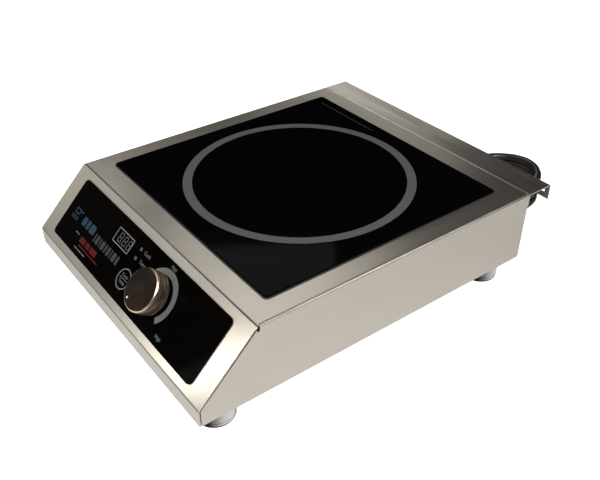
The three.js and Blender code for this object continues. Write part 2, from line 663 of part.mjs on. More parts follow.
function addCord() {
  const { x, y, inner, outer, low, high, corner, sides } = COIL_RING;
  add('strain_relief', strainRelief(), looks.rubber, cord);
  add('power_cord', sweep(LEAD_ROUTE, CORD_RADIUS, 10, 12), looks.cord, cord);
  const ring = turned([
    [inner, low], [outer, low], [outer, high - corner], [outer - corner, high],
    [inner + corner, high], [inner, high - corner], [inner, low],
  ], sides);
  add('cord_coil', ring.translate(x, y, 0), looks.cord, cord);
  add('plug_lead', sweep(TAIL_ROUTE, CORD_RADIUS, 10, 6), looks.cord, cord);
  addPlug();
}

// ---- Assembly ---------------------------------------------------------------------------------------
add('top_cover', topCover(), looks.stainless);
add('base_pan', basePan(), looks.steel);
add('rear_panel', rearPanel(), looks.stainless);
add('rear_bracket', rearBracket(), looks.stainless);
addFeet();
addGlass();
addControls();
addCoil();
addPower();
add('fan_frame', fanFrame(), looks.black);
add('fan_impeller', fanImpeller(), looks.black);
addCord();

export default object;
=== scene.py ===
"""Countertop induction cooktop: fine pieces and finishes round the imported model, in metres."""
import json
import math

import bmesh
import bpy
from mathutils import Matrix, Vector


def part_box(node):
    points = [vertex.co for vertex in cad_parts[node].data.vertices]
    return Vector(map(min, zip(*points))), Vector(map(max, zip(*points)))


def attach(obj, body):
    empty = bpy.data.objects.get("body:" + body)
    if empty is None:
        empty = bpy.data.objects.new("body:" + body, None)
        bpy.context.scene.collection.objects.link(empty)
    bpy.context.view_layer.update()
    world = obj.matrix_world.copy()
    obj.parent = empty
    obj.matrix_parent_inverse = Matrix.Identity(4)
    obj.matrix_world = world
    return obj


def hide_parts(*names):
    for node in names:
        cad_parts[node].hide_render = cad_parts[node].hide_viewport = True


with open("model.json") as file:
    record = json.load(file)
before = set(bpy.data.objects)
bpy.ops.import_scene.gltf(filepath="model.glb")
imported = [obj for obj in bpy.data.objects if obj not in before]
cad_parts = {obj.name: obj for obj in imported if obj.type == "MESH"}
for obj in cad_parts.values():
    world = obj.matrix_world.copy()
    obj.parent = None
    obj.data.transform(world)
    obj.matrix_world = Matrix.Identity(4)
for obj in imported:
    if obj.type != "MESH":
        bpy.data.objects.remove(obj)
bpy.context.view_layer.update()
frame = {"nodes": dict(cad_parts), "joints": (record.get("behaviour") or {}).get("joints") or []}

# ---- Sizes ---------------------------------------------------------------------------------------
MM = 0.001
SHEET = 1.2 * MM
BEND = 2.6 * MM
REAR_FLANGE = 12 * MM
SEAM = 1.1 * MM  # gap between the folded front and the side panels
SEAM_FLARE = 0.6 * MM  # and how much wider it is at the top of the slope
EASED = 0.18 * MM  # broken edge on cut sheet
PAINTED_REFLECTION_TURN = 0.9  # where round a foot the painted reflection's bright bands lie, in radians of their pattern
PRINT = 0.04 * MM  # thickness of a printed mark
LIP = 18.3 * MM
LIP_SLOT = {"length": 60 * MM, "width": 4.5 * MM, "count": 5, "drop": 9.9 * MM, "edge": 5.8 * MM}
CORD_WIDTH = 9.5 * MM
KNOB_FACE = 21 * MM  # radius of the knob's face, which is painted darker than its side as painted shade
KNOB_NECK = 6.8 * MM  # height of the knob's narrower neck above the slope, coloured near black as painted shade for the shadow gap under the knob

JOINTS = {joint["name"]: joint for joint in frame["joints"]}


COVER_LOW, COVER_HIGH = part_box("top_cover")
GLASS_LOW, GLASS_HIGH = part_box("glass_plate")
BRACKET_LOW, BRACKET_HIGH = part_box("rear_bracket")
SIDE = COVER_HIGH.x
FRONT_Y, REAR_Y = COVER_LOW.y, COVER_HIGH.y
CASE_FOOT, TOP_Z = COVER_LOW.z, COVER_HIGH.z
GLASS_Y = (GLASS_LOW.y + GLASS_HIGH.y) / 2
GLASS_SIDE = GLASS_HIGH.x - GLASS_LOW.x

# The control front: x across, y up the slope, z outwards, with its origin on the front bend.
KNOB_AT = Vector(JOINTS["knob_turn"]["pos_m"])
OUT = -Vector(JOINTS["knob_turn"]["axis"]).normalized()
UP = OUT.cross(Vector((1, 0, 0)))
BEND_LINE = KNOB_AT + UP * (TOP_Z - KNOB_AT.z) / UP.z
BEND_Y = BEND_LINE.y
SKIRT_TOP = TOP_Z - (BEND_Y - FRONT_Y) * UP.z / UP.y
SLOPE = Matrix.Translation((0, BEND_Y, TOP_Z)) @ Matrix((
    (1, UP.x, OUT.x, 0), (0, UP.y, OUT.y, 0), (0, UP.z, OUT.z, 0), (0, 0, 0, 1)))
FASCIA_FACE = 1.3 * MM


# ---- Shader helpers ------------------------------------------------------------------------------
class Value:
    """A shader socket that can be written in sums; each operation adds a Math node."""

    def __init__(self, finish, socket):
        self.finish = finish
        self.socket = socket

    def maths(self, operation, *values):
        return self.finish.node("ShaderNodeMath", {"operation": operation}, dict(enumerate(values)))

    def __add__(self, other):
        return self.maths("ADD", self, other)

    def __sub__(self, other):
        return self.maths("SUBTRACT", self, other)

    def __mul__(self, other):
        return self.maths("MULTIPLY", self, other)

    def __pow__(self, other):
        return self.maths("POWER", self, other)

    def __lt__(self, other):
        return self.maths("LESS_THAN", self, other)

    def wave(self):
        """A sine of this value, between 0 and 1."""
        return self.maths("SINE", self) * 0.5 + 0.5

    __radd__ = __add__
    __rmul__ = __mul__


class Finish:
    """One material: a Principled shader, and the nodes that vary it."""

    def __init__(self, name, colour, roughness, **sockets):
        self.material = bpy.data.materials.new(name)
        self.material.use_nodes = True
        self.tree = self.material.node_tree
        self.shader = self.tree.nodes["Principled BSDF"]
        self.feed("Base Color", (*colour, 1))
        self.feed("Roughness", roughness)
        for socket, value in sockets.items():
            self.feed(socket.replace("_", " "), value)

    def feed(self, socket, value):
        self.plug(self.shader.inputs[socket], value)

    def plug(self, socket, value):
        if isinstance(value, Value):
            self.tree.links.new(value.socket, socket)
        else:
            socket.default_value = value

    def node(self, kind, settings=None, sockets=None, output=0):
        node = self.tree.nodes.new(kind)
        for name, setting in (settings or {}).items():
            if name == "stops":
                self.set_stops(node.color_ramp, setting)
            else:
                setattr(node, name, setting)
        for name, value in (sockets or {}).items():
            self.plug(node.inputs[name], value)
        return Value(self, node.outputs[output])

    @staticmethod
    def set_stops(ramp, stops):
        while len(ramp.elements) < len(stops):
            ramp.elements.new(1)
        for element, (place, colour) in zip(ramp.elements, stops):
            element.position = place
            element.color = (*colour, 1)

    def place(self, scale=(1, 1, 1), at=(0, 0, 0), turn=(0, 0, 0), by="Object"):
        """Coordinates on the piece, centred, turned and stretched."""
        source = self.node("ShaderNodeTexCoord", output={"Object": 3, "UV": 2}[by])
        moved = self.node("ShaderNodeMapping", {}, {"Vector": source, "Location": [-n for n in at]})
        return self.node("ShaderNodeMapping", {}, {"Vector": moved, "Rotation": turn, "Scale": scale})

    def noise(self, vector, scale=1.0, detail=2.0):
        return self.node("ShaderNodeTexNoise", {}, {"Vector": vector, "Scale": scale, "Detail": detail})

    def mix(self, factor, first, second):
        colours = {"Factor": factor, 6: first, 7: second}
        for key in (6, 7):
            if not isinstance(colours[key], Value):
                colours[key] = (*colours[key], 1)
        return self.node("ShaderNodeMix", {"data_type": "RGBA"}, colours, output=2)

    def bump(self, height, strength, distance=0.1 * MM):
        sockets = {"Height": height, "Strength": strength, "Distance": distance}
        self.feed("Normal", self.node("ShaderNodeBump", {}, sockets))


# ---- Finishes ------------------------------------------------------------------------------------
def brushed_steel(name, colour, roughness=0.34, coarse=1.0):
    """Brushed sheet. The first UV axis runs across the brush lines, the second along them."""
    finish = Finish(name, colour, roughness, Metallic=1.0, Anisotropic=0.55)
    lines = finish.noise(finish.place((1500 * coarse, 24, 1), by="UV"), 1, 3)
    fine = finish.noise(finish.place((5200 * coarse, 130, 1), by="UV"), 1, 2)
    clouds = finish.noise(finish.place((9, 9, 9)), 1, 3)
    shade = (lines - 0.5) * 0.5 + (fine - 0.5) * 0.45 + (clouds - 0.5) * 0.2 + 0.5
    dark = [channel * 0.86 for channel in colour]
    light = [min(channel * 1.12, 1) for channel in colour]
    finish.feed("Base Color", finish.mix(shade, dark, light))
    finish.feed("Roughness", roughness + (lines - 0.5) * 0.12 + (clouds - 0.5) * 0.08)
    finish.bump(lines * 0.6 + fine * 0.4, 0.12, 0.05 * MM)
    return finish.material


def black_glass():
    """Polished black cooking glass, faintly smeared."""
    finish = Finish("black_glass", (0.0012, 0.0012, 0.0012), 0.05, Specular_IOR_Level=0.012)
    smear = finish.noise(finish.place((14, 22, 14)), 1, 4)
    finish.feed("Roughness", 0.04 + smear * 0.05)
    return finish.material


def gloss_black(name):
    """Gloss black plastic, faintly smeared."""
    finish = Finish(name, (0.0015, 0.0012, 0.001), 0.09, Specular_IOR_Level=0.003)
    smear = finish.noise(finish.place((30, 30, 30)), 1, 4)
    finish.feed("Roughness", 0.07 + smear * 0.06)
    return finish.material


def ink(name, colour, roughness=0.45):
    """Screen-printed ink, slightly uneven."""
    finish = Finish(name, colour, roughness, Specular_IOR_Level=0.1)
    grain = finish.noise(finish.place((900, 900, 900)), 1, 3)
    finish.feed("Base Color", finish.mix(grain, [c * 0.85 for c in colour], [c * 1.12 for c in colour]))
    finish.feed("Roughness", roughness - 0.05 + grain * 0.1)
    return finish.material


def moulded(name, colour, roughness=0.5, grain=700, depth=0.15):
    """Moulded plastic or rubber with a fine grain."""
    finish = Finish(name, colour, roughness)
    pores = finish.noise(finish.place((grain, grain, grain)), 1, 3)
    clouds = finish.noise(finish.place((30, 30, 30)), 1, 3)
    finish.feed("Base Color", finish.mix(clouds, [c * 0.8 for c in colour], [c * 1.2 for c in colour]))
    finish.feed("Roughness", roughness - 0.06 + pores * 0.12)
    finish.bump(pores, depth, 0.05 * MM)
    return finish.material


def metal(name, colour, roughness=0.3, grain=400, stretch=(1, 1, 1), anisotropic=0.0):
    """Plain cut, plated or cast metal."""
    finish = Finish(name, colour, roughness, Metallic=1.0, Anisotropic=anisotropic)
    marks = finish.noise(finish.place([grain * side for side in stretch]), 1, 3)
    clouds = finish.noise(finish.place((25, 25, 25)), 1, 3)
    light = [min(c * 1.1, 1) for c in colour]
    finish.feed("Base Color", finish.mix(clouds, [c * 0.88 for c in colour], light))
    finish.feed("Roughness", roughness - 0.06 + marks * 0.12)
    finish.bump(marks, 0.08, 0.03 * MM)
    return finish.material


def turned_steel_painted_reflection():
    """Polished turned feet with a painted reflection: two bright and two dark bands round the side, set by
    the angle round each foot and broken up by noise, stand for the lit floor and the shade under the case
    that the feet reflect.
    """
    finish = Finish("turned_steel_painted_reflection", (0.45, 0.44, 0.41), 0.16, Metallic=1.0)
    streaks = finish.noise(finish.place((3, 9, 1), by="UV"), 1, 2)
    fine = finish.noise(finish.place((3000, 4, 1), by="UV"), 1, 2)
    around = finish.node("ShaderNodeSeparateXYZ", {}, {0: finish.place(by="UV")}, output=1)
    # Painted reflection: the bands follow the angle round the foot, so every foot shows the same bright and
    # dark sides.
    shade = (around * 4 * math.pi + PAINTED_REFLECTION_TURN).wave() ** 1.6 + (streaks - 0.5) * 0.5
    finish.feed("Base Color", finish.mix(shade, (0.02, 0.019, 0.017), (0.66, 0.64, 0.6)))
    finish.feed("Roughness", 0.1 + fine * 0.12)
    return finish.material


def spun_bronze():
    """Turned and spun bronze-coloured knob: fine rings on the face, fine lines round the side. The face is
    painted near black as painted shade, the side's lines carry painted highlights, and the neck is painted
    black as painted shade.
    """
    finish = Finish("spun_bronze", (0.3, 0.22, 0.15), 0.3, Metallic=1.0, Anisotropic=0.8)
    around = finish.place(at=KNOB_AT, turn=(-math.acos(OUT.z), 0, 0))
    x, y, height = (finish.node("ShaderNodeSeparateXYZ", {}, {0: around}, output=i) for i in range(3))
    reach = (x * x + y * y) ** 0.5
    on_shaded_face = reach < KNOB_FACE
    across = {0: reach * 4200, 1: height * 4200}
    rings = finish.noise(finish.node("ShaderNodeCombineXYZ", {}, across), 1, 2)
    ridged = {0: x * 90, 1: y * 90, 2: height * 1100}
    ridges = finish.noise(finish.node("ShaderNodeCombineXYZ", {}, ridged), 1, 3)
    # The ridge lines are partly the side's turned texture and partly painted highlights, hence their wide
    # light-to-dark range.
    ridge_lines_and_sheen = finish.node("ShaderNodeMapRange", {}, {0: ridges, 1: 0.36, 2: 0.64, 3: 0.0, 4: 1.0})
    clouds = finish.noise(finish.place((120, 120, 120)), 1, 3)
    tone = rings * 0.6 + clouds * 0.4
    side = finish.mix(ridge_lines_and_sheen, (0.12, 0.09, 0.06), (0.88, 0.69, 0.49))
    # Painted shade: the face's colour is far darker than the side's, standing in for the dark surroundings it
    # reflects.
    face = finish.mix(tone, (0.016, 0.0105, 0.007), (0.034, 0.023, 0.016))
    # Painted shade: the neck is coloured near black to stand for the shadow gap under the knob.
    on_shadowed_neck = height < KNOB_NECK + 0.05 * MM
    finish.feed("Base Color", finish.mix(on_shadowed_neck, finish.mix(on_shaded_face, side, face), (0.006, 0.005, 0.004)))
    finish.feed("Roughness", 0.3 + rings * 0.12 + clouds * 0.06)
    finish.bump(rings * 0.5 + ridges * 0.5, 0.5, 0.1 * MM)
    return finish.material


def circuit_board():
    """Green solder mask with the lines of its tracks."""
    finish = Finish("circuit_board", (0.01, 0.09, 0.035), 0.35)
    tracks = finish.node("ShaderNodeTexBrick", {"offset": 0.5}, {
        "Vector": finish.place((120, 120, 120)), "Scale": 1.0, "Mortar Size": 0.06,
        "Color1": (1, 1, 1, 1), "Color2": (0.6, 0.6, 0.6, 1), "Mortar": (0, 0, 0, 1)}, output=1)
    finish.feed("Base Color", finish.mix(tracks, (0.008, 0.075, 0.03), (0.02, 0.14, 0.055)))
    return finish.material


def wound_copper():
    """Stranded winding lying in rings round the coil's axis."""
    finish = Finish("wound_copper", (0.55, 0.2, 0.09), 0.35, Metallic=1.0)
    spot = finish.place((1, 1, 1), at=(0, GLASS_Y, 0))
    x, y = (finish.node("ShaderNodeSeparateXYZ", {}, {0: spot}, output=i) for i in range(2))
    reach = (x * x + y * y) ** 0.5
    turns = (reach * 2600).wave()
    finish.feed("Base Color", finish.mix(turns, (0.25, 0.08, 0.03), (0.68, 0.28, 0.13)))
    finish.bump(turns, 0.5, 0.2 * MM)
    return finish.material


STEEL = brushed_steel("brushed_stainless", (0.565, 0.518, 0.44))
# Painted shade: a darker copy of the brushed steel for the faces of the front folds.
FOLD_SHADE_STEEL = brushed_steel("fold_painted_shade_steel", (0.3, 0.275, 0.24), 0.4)
INNER_STEEL = metal("galvanised_steel", (0.42, 0.42, 0.41), 0.42, 60)
GLASS = black_glass()
FASCIA = gloss_black("gloss_black_fascia")
RING_INK = ink("ring_enamel", (0.082, 0.081, 0.077), 1.0)
PALE_INK = ink("pale_ink", (0.14, 0.14, 0.135))
ARC_INK = ink("arc_ink", (0.12, 0.125, 0.117))
BLUE_INK = ink("slate_blue_ink", (0.022, 0.04, 0.062))
GREY_INK = ink("grey_ink", (0.042, 0.042, 0.042))
RED_INK = ink("dark_red_ink", (0.075, 0.006, 0.005))
SEGMENT = ink("display_segment", (0.13, 0.12, 0.105))
BRONZE = spun_bronze()
FOOT_STEEL_PAINTED_REFLECTION = turned_steel_painted_reflection()
RUBBER = moulded("black_rubber", (0.012, 0.012, 0.012), 0.6)
CORD = moulded("cord_jacket", (0.014, 0.0115, 0.009), 0.36, 260, 0.2)
BLACK_PLASTIC = moulded("black_plastic", (0.016, 0.016, 0.017), 0.45)
SEAL = moulded("silicone_seal", (0.02, 0.019, 0.018), 0.5)
WHITE_DOT = moulded("white_enamel", (0.75, 0.75, 0.73), 0.3)
LINE_INK = ink("faint_line_ink", (0.03, 0.03, 0.03))
FRAME_INK = ink("frame_ink", (0.2, 0.2, 0.19))
WINDOW = gloss_black("smoked_window")
LAMP = moulded("lamp_lens", (0.06, 0.058, 0.055), 0.25)
BUTTON = gloss_black("button_cap")
PLUG_PLASTIC = moulded("plug_plastic", (0.014, 0.013, 0.012), 0.45)
PANEL_STEEL = metal("satin_panel_steel", (0.5, 0.46, 0.4), 0.36, 60, (1, 25, 25))
BRASS = metal("contact_brass", (0.6, 0.45, 0.2), 0.22, 300)
ALUMINIUM = metal("bare_aluminium", (0.62, 0.62, 0.6), 0.35, 150)
COPPER = wound_copper()
CHOKE_COPPER = metal("choke_winding", (0.5, 0.19, 0.09), 0.32, 900, (1, 1, 6))
BOARD = circuit_board()
FERRITE = moulded("ferrite", (0.03, 0.03, 0.032), 0.55, 500)
MICA = moulded("mica", (0.42, 0.34, 0.22), 0.4, 300)
CAPACITOR = moulded("capacitor_case", (0.012, 0.025, 0.09), 0.35)
CERAMIC = moulded("white_ceramic", (0.7, 0.7, 0.68), 0.4)


# ---- Making pieces -------------------------------------------------------------------------------
def piece_of(bm, name, finish):
    """A bmesh as an object with its finish."""
    mesh = bpy.data.meshes.new(name)
    bm.to_mesh(mesh)
    bm.free()
    mesh.materials.append(finish)
    piece = bpy.data.objects.new(name, mesh)
    bpy.context.scene.collection.objects.link(piece)
    return piece


def settle(piece):
    """Applies a piece's modifiers."""
    graph = bpy.context.evaluated_depsgraph_get()
    mesh = bpy.data.meshes.new_from_object(piece.evaluated_get(graph))
    piece.modifiers.clear()
    piece.data = mesh


def carve(piece, *tools):
    """Cuts the tools, which are bmeshes, out of a piece."""
    cutters = [piece_of(tool, "cutter", piece.data.materials[0]) for tool in tools]
    for cutter in cutters:
        cut = piece.modifiers.new("cut", "BOOLEAN")
        cut.operation = "DIFFERENCE"
        cut.solver = "EXACT"
        cut.object = cutter
    settle(piece)
    for cutter in cutters:
        bpy.data.objects.remove(cutter)


def ease(piece, width, segments=2, limit=40):
    """Rounds a piece's sharp edges."""
    edge = piece.modifiers.new("eased", "BEVEL")
    edge.width = width
    edge.segments = segments
    edge.limit_method = "ANGLE"
    edge.angle_limit = math.radians(limit)
    edge.use_clamp_overlap = True
    settle(piece)


def shade(piece, angle=32):
    """Smooth shading that keeps the real edges."""
    for face in piece.data.polygons:
        face.use_smooth = True
    piece.data.set_sharp_from_angle(angle=math.radians(angle))


def fit(piece, body, *nodes, slot=None, smooth=32):
    """Puts a finished piece on its body, in the place of CAD nodes."""
    shade(piece, smooth)
    weigh = piece.modifiers.new("flat_faces_lead", "WEIGHTED_NORMAL")
    weigh.keep_sharp = True
    weigh.weight = 90
    settle(piece)
    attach(piece, body)
    if nodes:
        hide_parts(*nodes)
    return piece


def rounded_sheet(width, depth, corner, steps=8, x=0.0, y=0.0):
    """A flat sheet with round corners, facing up."""
    bm = bmesh.new()
    bmesh.ops.create_grid(bm, x_segments=1, y_segments=1, size=0.5)
    bmesh.ops.scale(bm, vec=(width, depth, 1), verts=bm.verts)
    bmesh.ops.bevel(bm, geom=bm.verts[:], offset=corner, offset_type="OFFSET", affect="VERTICES",
                    segments=steps, profile=0.5, material=-1)
    bmesh.ops.translate(bm, vec=(x, y, 0), verts=bm.verts)
    return bm


def disc(radius, steps=48, x=0.0, y=0.0):
    bm = bmesh.new()
    bmesh.ops.create_circle(bm, cap_ends=True, radius=radius, segments=steps)
    bmesh.ops.translate(bm, vec=(x, y, 0), verts=bm.verts)
    return bm


def raised(bm, low, high):
    """A flat sheet made a plate between two heights."""
    bmesh.ops.translate(bm, vec=(0, 0, low), verts=bm.verts)
    made = bmesh.ops.extrude_face_region(bm, geom=bm.faces[:], use_keep_orig=True)
    moved = [item for item in made["geom"] if isinstance(item, bmesh.types.BMVert)]
    bmesh.ops.translate(bm, vec=(0, 0, high - low), verts=moved)
    bmesh.ops.recalc_face_normals(bm, faces=bm.faces)
    return bm


def turned(profile, steps=96):
    """A turned piece: profile points are (radius, height) from the bottom of the axis to its top."""
    bm = bmesh.new()
    points = [bm.verts.new((radius, 0, height)) for radius, height in profile]
    edges = [bm.edges.new(pair) for pair in zip(points, points[1:])]
    bmesh.ops.spin(bm, geom=points + edges, axis=(0, 0, 1), cent=(0, 0, 0), angle=2 * math.pi,
                   steps=steps, use_merge=True)
    bmesh.ops.remove_doubles(bm, verts=bm.verts, dist=1e-7)
    bmesh.ops.recalc_face_normals(bm, faces=bm.faces)
    return bm


def moved(bm, matrix):
    bmesh.ops.transform(bm, matrix=matrix, verts=bm.verts)
    return bm


def merged(*bms):
    """Several bmeshes as one."""
    whole = bmesh.new()
    for bm in bms:
        scratch = bpy.data.meshes.new("part")
        bm.to_mesh(scratch)
        bm.free()
        whole.from_mesh(scratch)
        bpy.data.meshes.remove(scratch)
    return whole


def folded(path, x0, x1):
    """An open sheet along X with sharp folds: path points are (y, z)."""
    bm = bmesh.new()
    points = [bm.verts.new((x0, y, z)) for y, z in path]
    edges = [bm.edges.new(pair) for pair in zip(points, points[1:])]
    made = bmesh.ops.extrude_edge_only(bm, edges=edges)
    across = [item for item in made["geom"] if isinstance(item, bmesh.types.BMVert)]
    bmesh.ops.translate(bm, vec=(x1 - x0, 0, 0), verts=across)
    return bm


def folds(bm):
    """The edges where a sheet changes direction."""
    return [edge for edge in bm.edges if len(edge.link_faces) == 2 and edge.calc_face_angle() > 0.1]


def face_out(bm):
    """Turns an open shell's faces outwards, judged by its highest face."""
    bmesh.ops.recalc_face_normals(bm, faces=bm.faces)
    highest = max(bm.faces, key=lambda face: face.calc_center_median().z)
    if highest.normal.z < 0:
        bmesh.ops.reverse_faces(bm, faces=bm.faces)


def walled(piece, thickness):
    """Gives a shell its thickness, inwards."""
    wall = piece.modifiers.new("wall", "SOLIDIFY")
    wall.thickness = thickness
    wall.offset = -1
    wall.use_even_offset = True
    settle(piece)


def unrolled(y, z):
    """Distance along the folded sheet from its middle, for the brush lines."""
    if z < SKIRT_TOP and y < BEND_Y:
        return BEND_Y - math.hypot(BEND_Y - FRONT_Y, TOP_Z - SKIRT_TOP) - (SKIRT_TOP - z)
    if y < BEND_Y:
        return BEND_Y - math.hypot(BEND_Y - y, TOP_Z - z)
    return y + max(TOP_Z - BEND - z, 0)


def lay_grain(piece):
    """A UV map in metres over folded sheet: first across the brush lines, then along them."""
    layer = piece.data.uv_layers.new(name="grain")
    for face in piece.data.polygons:
        side = abs(face.normal.x) > 0.72
        for loop in face.loop_indices:
            place = piece.data.vertices[piece.data.loops[loop].vertex_index].co
            if side:
                layer.data[loop].uv = (math.copysign(SIDE + TOP_Z - place.z, place.x), place.y)
            else:
                layer.data[loop].uv = (place.x, unrolled(place.y, place.z))


def lay_turned_grain(piece, matrix):
    """A UV map round a turned piece: first along its axis or radius, then round it."""
    layer = piece.data.uv_layers.new(name="grain")
    back = matrix.inverted()
    for face in piece.data.polygons:
        middle = back @ face.center
        start = math.atan2(middle.y, middle.x)
        for loop in face.loop_indices:
            place = back @ piece.data.vertices[piece.data.loops[loop].vertex_index].co
            reach = math.hypot(place.x, place.y)
            angle = start if reach < 1e-6 else math.atan2(place.y, place.x)
            angle += round((start - angle) / (2 * math.pi)) * 2 * math.pi
            layer.data[loop].uv = (reach - place.z, angle / (2 * math.pi))


# ---- Camera and light ----------------------------------------------------------------------------
def aim(item, place, target):
    item.location = place
    item.rotation_mode = "QUATERNION"
    item.rotation_quaternion = (Vector(target) - Vector(place)).to_track_quat("-Z", "Y")


CAMERA_AT = Vector((0.5862, -0.4265, 0.5328))
CAMERA_TURN = 53.08  # degrees, from the front towards +X
CAMERA_RISE = 35.15  # degrees above level
CAMERA_LENS = 45.89


def set_camera():
    camera = bpy.data.objects.new("camera", bpy.data.cameras.new("camera"))
    bpy.context.scene.collection.objects.link(camera)
    camera.data.lens = CAMERA_LENS
    camera.data.sensor_width = 36
    camera.data.clip_start = 0.01
    azimuth, elevation = math.radians(CAMERA_TURN), math.radians(CAMERA_RISE)
    back = Vector((math.sin(azimuth) * math.cos(elevation), -math.cos(azimuth) * math.cos(elevation),
                   math.sin(elevation)))
    aim(camera, CAMERA_AT, CAMERA_AT - back)
    bpy.context.scene.camera = camera


def softbox(name, place, target, size, power, colour=(1, 1, 1)):
    light = bpy.data.lights.new(name, "AREA")
    light.shape = "RECTANGLE"
    light.size, light.size_y = size
    light.energy = power
    light.color = colour
    box = bpy.data.objects.new(name, light)
    bpy.context.scene.collection.objects.link(box)
    aim(box, place, target)
    return box


LIGHT_TARGET = Vector((0, 0, 0.06))
LIGHT_REACH = 1.7
COOL = (1, 1.01, 1.06)
# Each light: its name, how far its direction leans to +X (1 is all the way), its turn in degrees from
# the front over the top to the rear, its side in metres and its power in watts.
STUDIO_LIGHTS = [
    ("right_softbox", 0.45, 62, 0.7, 30), ("edge_softbox", 0.72, 128, 0.3, 6),
    ("top_softbox", -0.58, 117, 0.45, 1.5), ("left_softbox", -0.7, 90, 0.45, 1.9),
    ("rear_softbox", -0.68, 165, 0.5, 1.7), ("front_softbox", -0.5, 40, 0.45, 1.3),
    ("low_softbox", -0.62, 10, 0.45, 0.9), ("left_front_softbox", -0.8, 30, 0.45, 0.75),
]


def set_stage():
    bm = bmesh.new()
    bmesh.ops.create_grid(bm, x_segments=1, y_segments=1, size=6)
    paper = Finish("white_paper", (0.8, 0.8, 0.8), 0.9, Specular_IOR_Level=0.0)
    paper.feed("Emission Color", (1, 1, 1, 1))
    paper.feed("Emission Strength", paper.node("ShaderNodeLightPath"))  # white to the camera only
    floor = piece_of(bm, "floor", paper.material)
    world = bpy.data.worlds.new("studio")
    bpy.context.scene.world = world
    world.use_nodes = True
    tree = world.node_tree
    faint = tree.nodes["Background"]
    faint.inputs["Color"].default_value = (1, 1, 1, 1)
    faint.inputs["Strength"].default_value = 0.01
    bright = tree.nodes.new("ShaderNodeBackground")
    bright.inputs["Strength"].default_value = 1.2
    path = tree.nodes.new("ShaderNodeLightPath")
    either = tree.nodes.new("ShaderNodeMixShader")
    tree.links.new(path.outputs["Is Camera Ray"], either.inputs[0])
    tree.links.new(faint.outputs[0], either.inputs[1])
    tree.links.new(bright.outputs[0], either.inputs[2])
    tree.links.new(either.outputs[0], tree.nodes["World Output"].inputs[0])
    for name, across, rise, size, power in STUDIO_LIGHTS:
        reach = math.sqrt(1 - across * across)
        rise = math.radians(rise)
        way = Vector((across, -math.cos(rise) * reach, math.sin(rise) * reach))
        tint = COOL if name == "right_softbox" else (1, 1, 1)
        softbox(name, LIGHT_TARGET + way * LIGHT_REACH, LIGHT_TARGET, (size, size), power, tint)
    softbox("corner_softbox", (-0.056, -0.441, 0.186), (0.165, -0.197, 0.066), (0.03, 0.14), 0.15)
    bpy.context.scene.view_settings.view_transform = "Standard"


# ---- Cord ----------------------------------------------------------------------------------------
COIL_AT = Vector((46 * MM, REAR_Y + 108.4 * MM, 0))
# Mains lead, counted from the rear face of the case, down to the table and along it to the coil.
LEAD_ROUTE = [
    (-125, 28, 30), (-125, 37, 29.9), (-125, 45, 29.2), (-125, 60, 26), (-122.3, 80.7, 18.5),
    (-114.3, 100, 10.5), (-101.6, 116.6, 5.9), (-85, 129.3, 4.95), (-62.6, 138, 4.95),
    (-30, 145.2, 4.95), (1.8, 152.2, 4.95),
]
# The last stretch, from the top of the coil down to the plug.
TAIL_ROUTE = [
    (28, 55.6, 33), (12.5, 56, 31.2), (0, 56, 27.2), (-12.5, 56, 21.6), (-25, 56, 16.5),
    (-36, 56, 13.6), (-44.7, 56, 13.3), (-46.5, 56, 13.3),
]


def blend_between(stops, value):
    """A smooth value between (place, value) stops."""
    for (a, low), (b, high) in zip(stops, stops[1:]):
        if value <= b:
            share = min(max((value - a) / (b - a), 0), 1)
            share = share * share * (3 - 2 * share)
            return low + (high - low) * share
    return stops[-1][1]


def coil_points():
    """Four and a half clockwise turns: two side by side on the table, the others lying on them."""
    start, end = math.radians(102.7), math.radians(-90 - 4 * 360)
    reach = [(0, 52.4), (0.86, 52.4), (1.1, 42.9), (1.86, 42.9), (2.1, 50), (2.86, 49.4), (3.1, 52),
             (3.86, 51.4), (4.1, 52.4), (4.6, 52.4)]
    height = [(0, 4.95), (1.84, 4.95), (2.12, 14.3), (2.84, 14.3), (3.12, 23.8), (3.84, 23.8),
              (4.12, 33.2), (4.6, 33.2)]
    count = 70
    points = []
    for step in range(count + 1):
        angle = start + (end - start) * step / count
        turns = (start - angle) / (2 * math.pi)
        radius = blend_between(reach, turns) * MM
        points.append((COIL_AT.x + radius * math.cos(angle), COIL_AT.y + radius * math.sin(angle),
                       blend_between(height, turns) * MM))
    return points


def cord_line():
    def placed(route):
        return [(x * MM, REAR_Y + y * MM, z * MM) for x, y, z in route]
    return placed(LEAD_ROUTE) + coil_points() + placed(TAIL_ROUTE)


def add_cord():
    line = bpy.data.curves.new("power_cord", "CURVE")
    line.dimensions = "3D"
    line.bevel_depth = CORD_WIDTH / 2
    line.bevel_resolution = 6
    line.resolution_u = 5
    line.use_fill_caps = True
    points = cord_line()
    spline = line.splines.new("BEZIER")
    spline.bezier_points.add(len(points) - 1)
    for knot, place in zip(spline.bezier_points, points):
        knot.co = place
        knot.handle_left_type = knot.handle_right_type = "AUTO"
    line.materials.append(CORD)
    cord = bpy.data.objects.new("mains_cord", line)
    bpy.context.scene.collection.objects.link(cord)
    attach(cord, "case")
    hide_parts("power_cord", "cord_coil", "plug_lead")
    return cord


# ---- Case ----------------------------------------------------------------------------------------
def bend_edges(bm, edges, radius, steps=6):
    bmesh.ops.bevel(bm, geom=edges, offset=radius, offset_type="OFFSET", affect="EDGES",
                    segments=steps, profile=0.5, material=-1, clamp_overlap=True)


def bend_sheet(bm, radius, angles=(90, 45)):
    """Rounds the folds of each angle. A sharper fold is set back further, so that the radius stays."""
    for angle in angles:
        lean = math.radians(angle)
        edges = [edge for edge in folds(bm) if abs(edge.calc_face_angle() - lean) < 0.05]
        if edges:
            bend_edges(bm, edges, radius * math.tan(lean / 2))


